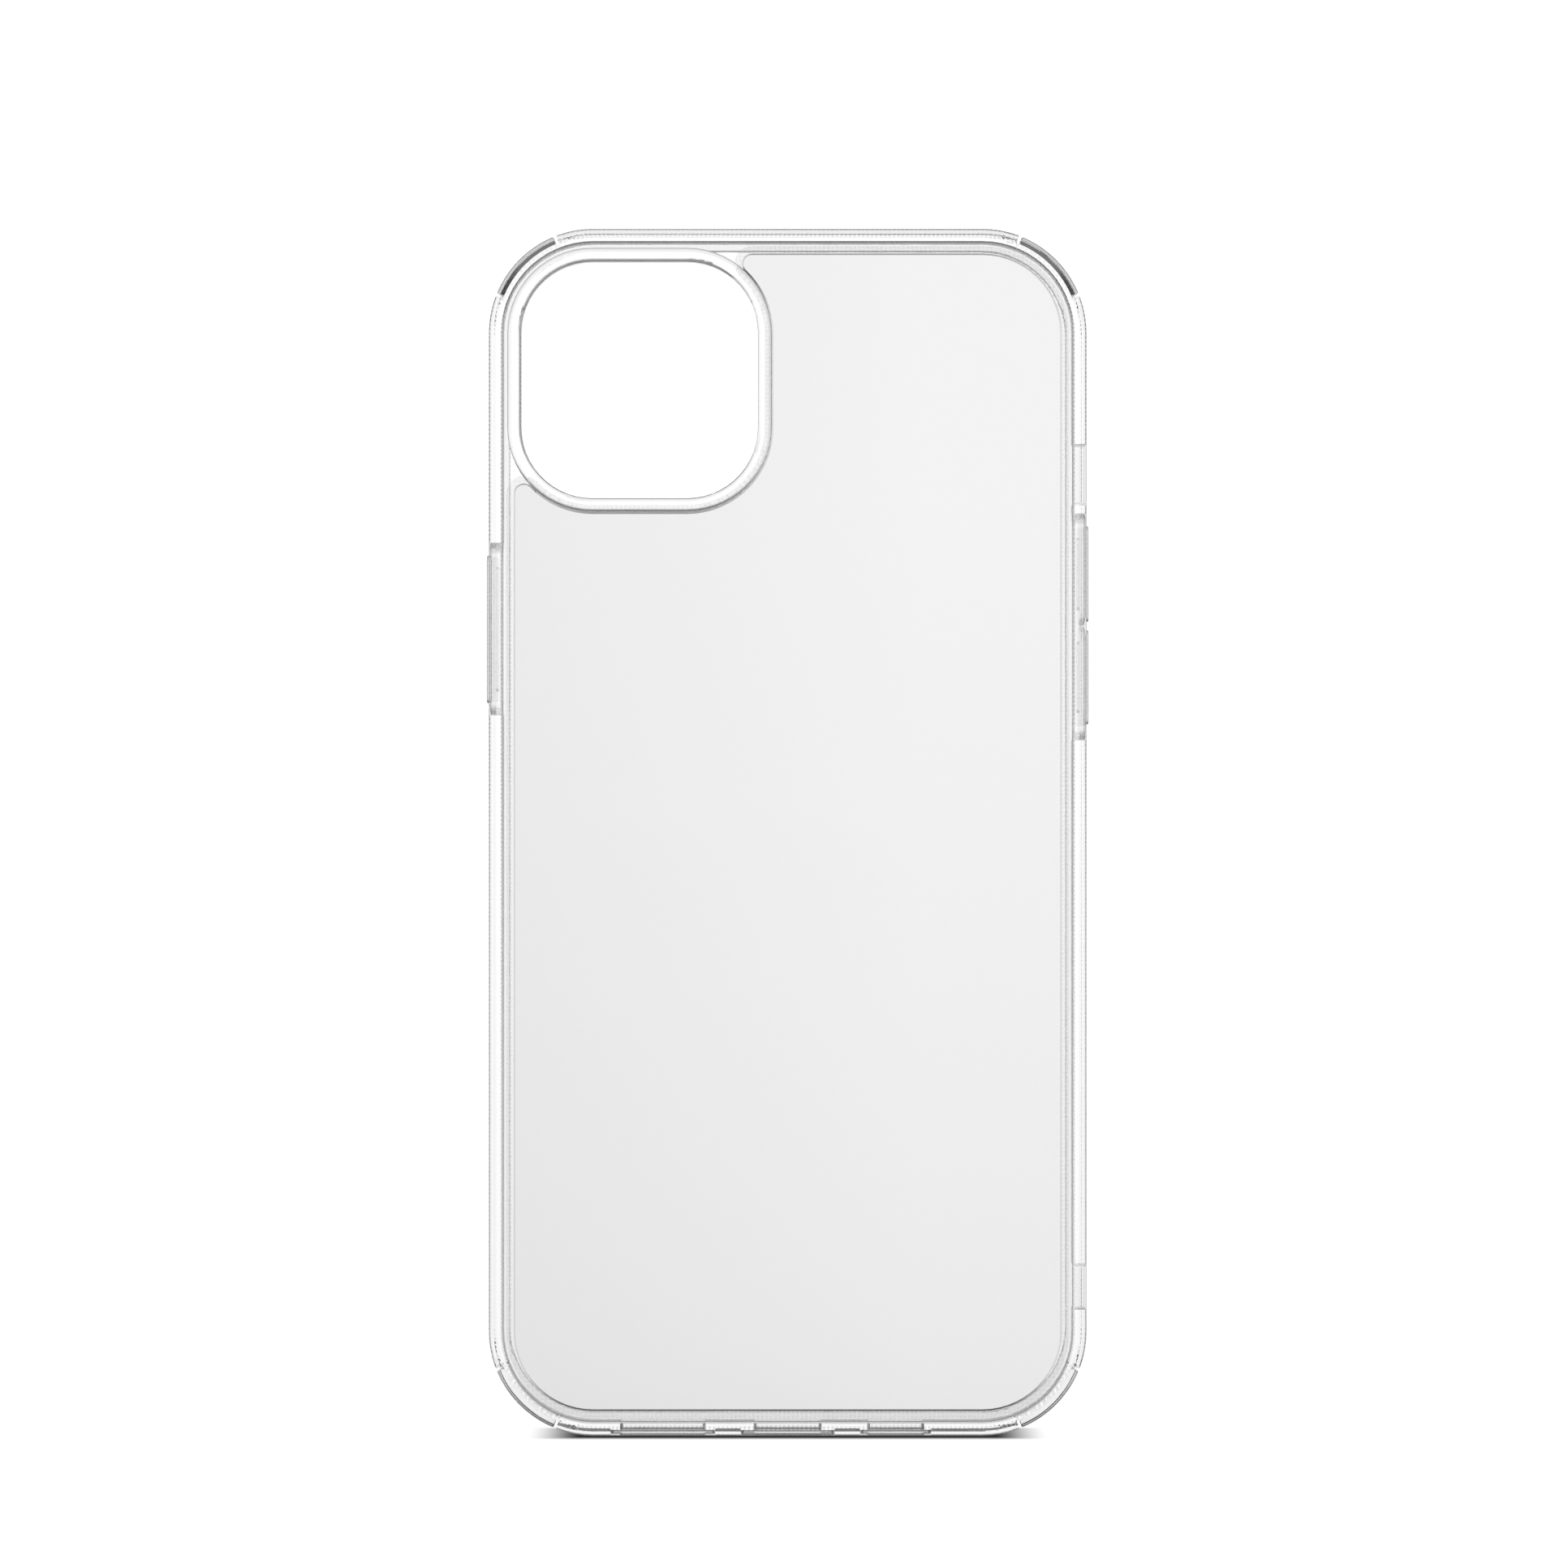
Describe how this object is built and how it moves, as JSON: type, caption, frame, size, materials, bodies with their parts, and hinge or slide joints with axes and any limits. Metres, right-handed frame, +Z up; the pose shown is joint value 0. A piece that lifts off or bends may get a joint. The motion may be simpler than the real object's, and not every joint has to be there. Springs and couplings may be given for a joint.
{
  "type": "phone case",
  "caption": "Clear protective case for a large slab phone: rigid back panel in a soft bumper with cushioned corners, button covers, camera ring and port cut-outs.",
  "frame": {"origin": "middle of the bottom edge that the case stands on, midway through its depth", "axes": "+Z up the height of the case, -Y out of its back, +X to the right seen from the back"},
  "size_m": [0.082, 0.0118, 0.1641],
  "materials": {
    "clear_polycarbonate": "clear, very slightly grey rigid polycarbonate, polished both sides",
    "clear_tpu": "clear soft thermoplastic polyurethane, glossy outside, fine dot texture on its inner faces",
    "cushion_tpu": "clear soft thermoplastic polyurethane, glossy, thicker than the wall",
    "button_tpu": "clear soft thermoplastic polyurethane, glossy, smooth"
  },
  "bodies": {
    "case": {"back_panel": "clear_polycarbonate", "bumper_frame": "clear_tpu", "corner_cushion_top_left": "cushion_tpu", "corner_cushion_top_right": "cushion_tpu", "corner_cushion_bottom_left": "cushion_tpu", "corner_cushion_bottom_right": "cushion_tpu"},
    "power_button": {"power_button": "button_tpu"},
    "volume_up_button": {"volume_up_button": "button_tpu"},
    "volume_down_button": {"volume_down_button": "button_tpu"}
  },
  "joints": [
    {"name": "power_press", "type": "slide", "parent": "case", "child": "power_button", "axis": [1, 0, 0], "range_m": [0, 0.0003], "stiffness_N_per_m": 3000},
    {"name": "volume_up_press", "type": "slide", "parent": "case", "child": "volume_up_button", "axis": [-1, 0, 0], "range_m": [0, 0.0003], "stiffness_N_per_m": 3000},
    {"name": "volume_down_press", "type": "slide", "parent": "case", "child": "volume_down_button", "axis": [-1, 0, 0], "range_m": [0, 0.0003], "stiffness_N_per_m": 3000}
  ]
}
